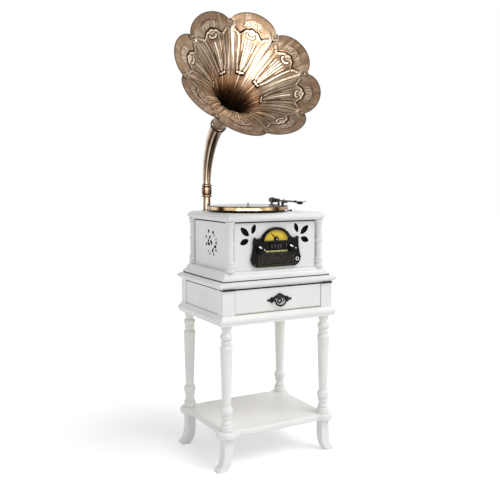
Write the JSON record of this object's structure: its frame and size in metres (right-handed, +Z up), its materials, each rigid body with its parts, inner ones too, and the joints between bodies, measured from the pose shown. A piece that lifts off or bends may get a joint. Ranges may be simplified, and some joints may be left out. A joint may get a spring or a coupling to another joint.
{
  "type": "retro record player",
  "caption": "Floor-standing record player with a petal horn on a swivelling elbow, a radio front in a cabinet and a table with a drawer and a shelf.",
  "frame": {"origin": "middle of the whole object's bounding box, on the floor", "axes": "+Z up, the radio and the drawer face -Y, the tonearm is at +X"},
  "size_m": [0.61, 0.5336, 1.4673],
  "materials": {
    "white_lacquer": "satin white lacquer on wood",
    "bare_wood": "plain sanded wood",
    "horn_bronze": "antique bronze, polished",
    "platter_bronze": "bronze coloured, polished rim",
    "black_iron": "black, satin",
    "black_plastic": "black, semi-gloss",
    "rubber": "black, matte",
    "steel": "bright",
    "black_steel": "black coated",
    "arm_tube": "black anodised",
    "dial_yellow": "printed yellow dial, satin",
    "speaker_black": "paper cone and pressed basket, matte black",
    "circuit_green": "circuit board with parts"
  },
  "bodies": {
    "cabinet_and_table": {"shelf": "white_lacquer", "case_moulding": "white_lacquer", "case_board": "bare_wood", "apron_back": "white_lacquer", "tabletop": "white_lacquer", "apron_left": "white_lacquer", "foot_front_left": "white_lacquer", "leg_front_left": "white_lacquer", "foot_back_left": "white_lacquer", "leg_back_left": "white_lacquer", "apron_right": "white_lacquer", "foot_front_right": "white_lacquer", "leg_front_right": "white_lacquer", "foot_back_right": "white_lacquer", "leg_back_right": "white_lacquer", "plinth": "white_lacquer", "front_panel": "white_lacquer", "back_panel": "white_lacquer", "lid": "white_lacquer", "circuit_board": "circuit_green", "mains_inlet": "black_plastic", "side_panel_left": "white_lacquer", "column_front_left": "white_lacquer", "column_back_left": "white_lacquer", "speaker_left": "speaker_black", "side_panel_right": "white_lacquer", "column_front_right": "white_lacquer", "column_back_right": "white_lacquer", "speaker_right": "speaker_black", "radio_bezel": "black_plastic", "dial_face": "dial_yellow", "turntable_base": "black_plastic", "drive_belt": "rubber", "motor": "steel", "arm_pedestal": "black_plastic", "horn_column": "horn_bronze"},
    "platter": {"platter": "platter_bronze", "platter_mat": "rubber"},
    "motor_pulley": {"motor_pulley": "steel"},
    "arm_yoke": {"arm_yoke": "black_plastic"},
    "tonearm": {"arm_tube": "arm_tube", "headshell": "black_plastic", "counterweight": "black_steel"},
    "horn": {"horn_elbow": "horn_bronze", "neck_ring": "black_iron", "horn_bell": "horn_bronze"},
    "drawer": {"drawer_front": "white_lacquer", "drawer_side_left": "bare_wood", "drawer_side_right": "bare_wood", "drawer_back": "bare_wood", "drawer_bottom": "bare_wood", "pull_plate": "black_iron"},
    "pull_bail": {"pull_bail": "black_iron"},
    "volume_knob": {"volume_knob": "black_plastic"},
    "tuning_knob": {"tuning_knob": "black_plastic"},
    "dial_needle": {"dial_needle": "black_plastic"},
    "key_1": {"key_1": "black_plastic"},
    "key_2": {"key_2": "black_plastic"},
    "key_3": {"key_3": "black_plastic"},
    "speed_lever": {"speed_lever": "black_plastic"}
  },
  "joints": [
    {"name": "platter_spin", "type": "hinge", "parent": "cabinet_and_table", "child": "platter", "pos_m": [0.04453, 0.07924, 0.8359], "axis": [0, 0, -1], "continuous": true},
    {"name": "motor_pulley_spin", "type": "hinge", "parent": "cabinet_and_table", "child": "motor_pulley", "pos_m": [-0.0382, 0.14866, 0.8374], "axis": [0, 0, -1], "continuous": true},
    {"name": "arm_swing", "type": "hinge", "parent": "cabinet_and_table", "child": "arm_yoke", "pos_m": [0.21653, 0.18524, 0.8611], "axis": [0, 0, -1], "range_deg": [0, 36]},
    {"name": "arm_lift", "type": "hinge", "parent": "arm_yoke", "child": "tonearm", "pos_m": [0.21653, 0.18524, 0.8611], "axis": [-0.9925, 0.1219, 0], "range_deg": [0, 15]},
    {"name": "horn_swivel", "type": "hinge", "parent": "cabinet_and_table", "child": "horn", "pos_m": [-0.04247, 0.22424, 0.9231], "axis": [0, 0, 1], "continuous": true},
    {"name": "drawer_slide", "type": "slide", "parent": "cabinet_and_table", "child": "drawer", "axis": [0, -1, 0], "range_m": [0, 0.2]},
    {"name": "bail_swing", "type": "hinge", "parent": "drawer", "child": "pull_bail", "pos_m": [0.07953, -0.07956, 0.54384], "axis": [-1, 0, 0], "range_deg": [-8, 95]},
    {"name": "volume_turn", "type": "hinge", "parent": "cabinet_and_table", "child": "volume_knob", "pos_m": [0.01653, -0.05496, 0.7085], "axis": [0, 1, 0], "range_deg": [-150, 150]},
    {"name": "tuning_turn", "type": "hinge", "parent": "cabinet_and_table", "child": "tuning_knob", "pos_m": [0.13853, -0.05496, 0.7085], "axis": [0, 1, 0], "range_deg": [-70, 250]},
    {"name": "needle_turn", "type": "hinge", "parent": "cabinet_and_table", "child": "dial_needle", "pos_m": [0.07753, -0.05226, 0.7415], "axis": [0, 1, 0], "range_deg": [-35, 125]},
    {"name": "key_1_press", "type": "slide", "parent": "cabinet_and_table", "child": "key_1", "axis": [0, 1, 0], "range_m": [0, 0.0025], "stiffness_N_per_m": 400},
    {"name": "key_2_press", "type": "slide", "parent": "cabinet_and_table", "child": "key_2", "axis": [0, 1, 0], "range_m": [0, 0.0025], "stiffness_N_per_m": 400},
    {"name": "key_3_press", "type": "slide", "parent": "cabinet_and_table", "child": "key_3", "axis": [0, 1, 0], "range_m": [0, 0.0025], "stiffness_N_per_m": 400},
    {"name": "speed_lever_turn", "type": "hinge", "parent": "cabinet_and_table", "child": "speed_lever", "pos_m": [0.19153, 0.05124, 0.8281], "axis": [0, 0, 1], "range_deg": [0, 40]}
  ],
  "couplings": [
    {"joint": "motor_pulley_spin", "follows": "platter_spin", "ratio": 12.571},
    {"joint": "needle_turn", "follows": "tuning_turn", "ratio": 0.5}
  ]
}
